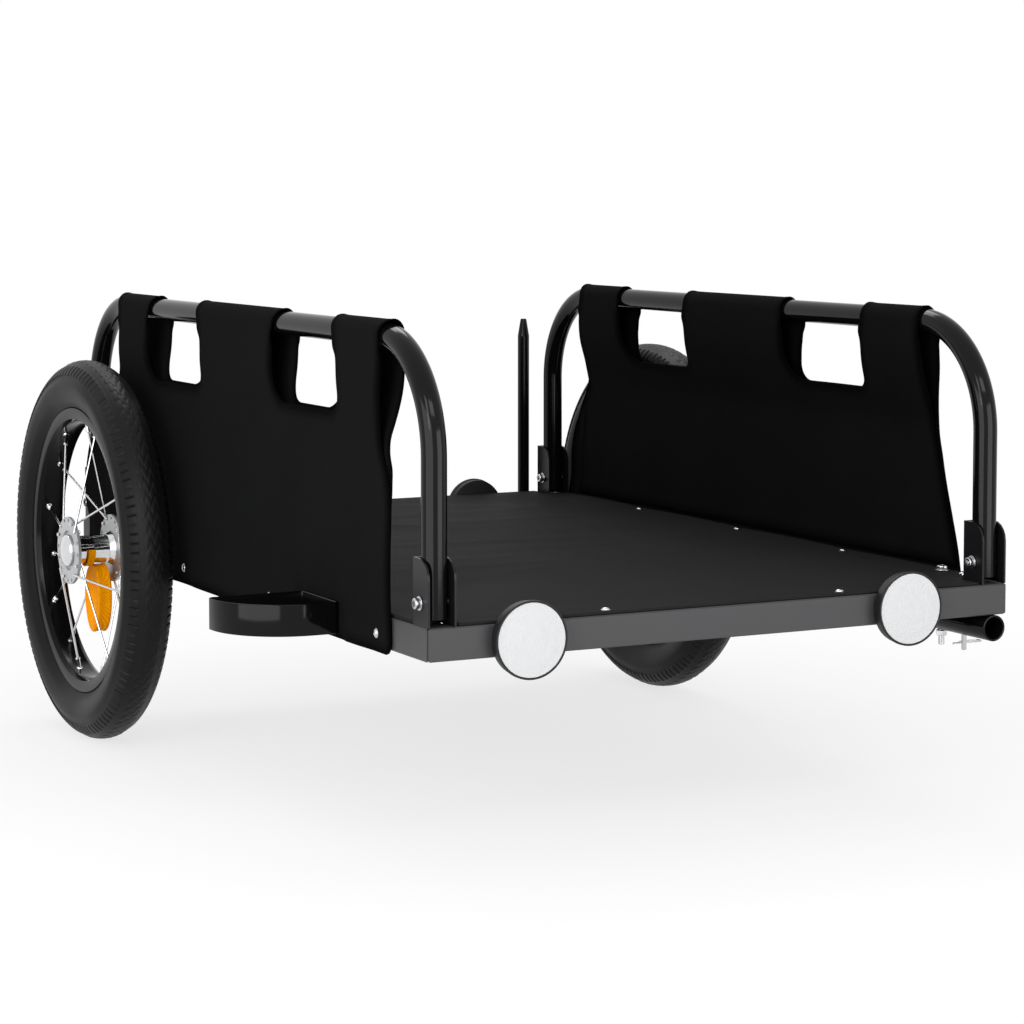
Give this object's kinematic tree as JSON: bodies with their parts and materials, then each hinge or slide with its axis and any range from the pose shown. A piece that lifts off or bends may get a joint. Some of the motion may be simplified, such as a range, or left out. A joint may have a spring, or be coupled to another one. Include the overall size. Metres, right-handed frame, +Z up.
{
  "type": "bicycle cargo trailer",
  "caption": "Flat two-wheeled bicycle cargo trailer: tube frame with fabric deck, side hoops with fabric covers, spoked wheels, reflectors and an open drawbar socket.",
  "frame": {"origin": "centre of the drawbar socket's mouth, where the drawbar and so the bicycle hold the trailer level", "axes": "-Y forward out of the socket towards the bicycle, +Y along the trailer's length to the rear, +X to the side of the socket, +Z up"},
  "size_m": [0.802, 0.9608, 0.4759],
  "materials": {
    "grey_enamel": "satin powder coat",
    "black_enamel": "gloss powder coat",
    "gloss_rim": "gloss black enamel",
    "bright_metal": "zinc plated, bright",
    "wheel_chrome": "bright chrome",
    "deck_fabric": "coated woven fabric, faint sheen",
    "cover_fabric": "coated woven fabric, matte",
    "black_plastic": "matte moulded",
    "white_lens": "white prismatic lens",
    "red_lens": "red prismatic lens",
    "amber_lens": "amber prismatic lens",
    "tyre": "matte rubber"
  },
  "bodies": {
    "chassis": {"frame_front_rail": "grey_enamel", "frame_rear_rail": "grey_enamel", "frame_left_rail": "grey_enamel", "frame_right_rail": "grey_enamel", "front_cross_tube": "black_enamel", "axle_cross_tube": "black_enamel", "deck_fabric": "deck_fabric", "hoop_left": "black_enamel", "hoop_right": "black_enamel", "bracket_front_left": "grey_enamel", "bracket_front_right": "grey_enamel", "bracket_rear_left": "grey_enamel", "bracket_rear_right": "grey_enamel", "bracket_bolt_front_left": "bright_metal", "bracket_bolt_front_right": "bright_metal", "bracket_bolt_rear_left": "bright_metal", "bracket_bolt_rear_right": "bright_metal", "side_cover_left": "cover_fabric", "side_cover_right": "cover_fabric", "front_left_reflector_cup": "black_plastic", "front_right_reflector_cup": "black_plastic", "rear_left_reflector_cup": "black_plastic", "rear_right_reflector_cup": "black_plastic", "front_left_reflector_lens": "white_lens", "front_right_reflector_lens": "white_lens", "rear_left_reflector_lens": "red_lens", "rear_right_reflector_lens": "red_lens", "drawbar_socket": "black_enamel", "socket_bolt": "bright_metal", "locking_pin": "bright_metal", "pin_clip": "bright_metal", "wheel_deflector_left": "black_enamel", "wheel_deflector_right": "black_enamel", "axle_receiver_left": "black_enamel", "axle_receiver_right": "black_enamel", "axle_left": "bright_metal", "axle_right": "bright_metal", "flag_post": "black_enamel", "post_clamp": "black_enamel"},
    "wheel_left": {"tyre_left": "tyre", "rim_left": "gloss_rim", "hub_left": "wheel_chrome", "amber_reflector_left": "amber_lens"},
    "wheel_right": {"tyre_right": "tyre", "rim_right": "gloss_rim", "hub_right": "wheel_chrome", "amber_reflector_right": "amber_lens"}
  },
  "joints": [
    {"name": "wheel_left_spin", "type": "hinge", "parent": "chassis", "child": "wheel_left", "pos_m": [-0.6368, 0.745, 0.0273], "axis": [1, 0, 0], "continuous": true},
    {"name": "wheel_right_spin", "type": "hinge", "parent": "chassis", "child": "wheel_right", "pos_m": [0.0588, 0.745, 0.0273], "axis": [1, 0, 0], "continuous": true}
  ]
}
